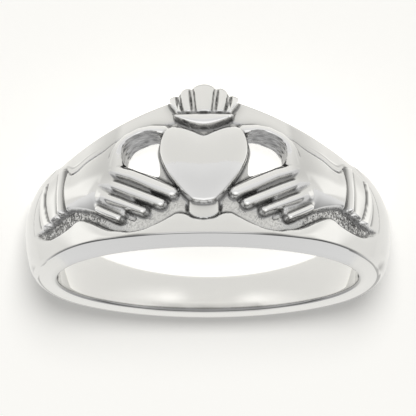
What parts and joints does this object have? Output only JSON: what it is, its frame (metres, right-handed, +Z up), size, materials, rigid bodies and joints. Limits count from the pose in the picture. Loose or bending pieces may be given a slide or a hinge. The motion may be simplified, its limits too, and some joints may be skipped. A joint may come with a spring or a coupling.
{
  "type": "claddagh ring",
  "caption": "Plain metal finger ring whose wide head shows two cuffed hands that hold a crowned heart, with a pierced opening on each side of the heart.",
  "frame": {"origin": "on the surface that the ring lies on, under the middle of its bounding box", "axes": "+X across the ring, towards the hand on the left when the crown points down the page; +Y towards the back of the band, away from the heart; +Z up. The ring lies on its crown side, so the hole's axis leans 12.7 degrees from +Z towards +Y."},
  "size_m": [0.021, 0.022, 0.0094],
  "materials": {
    "silver": "polished sterling silver"
  },
  "bodies": {
    "root": {"ring": "silver"}
  },
  "joints": []
}
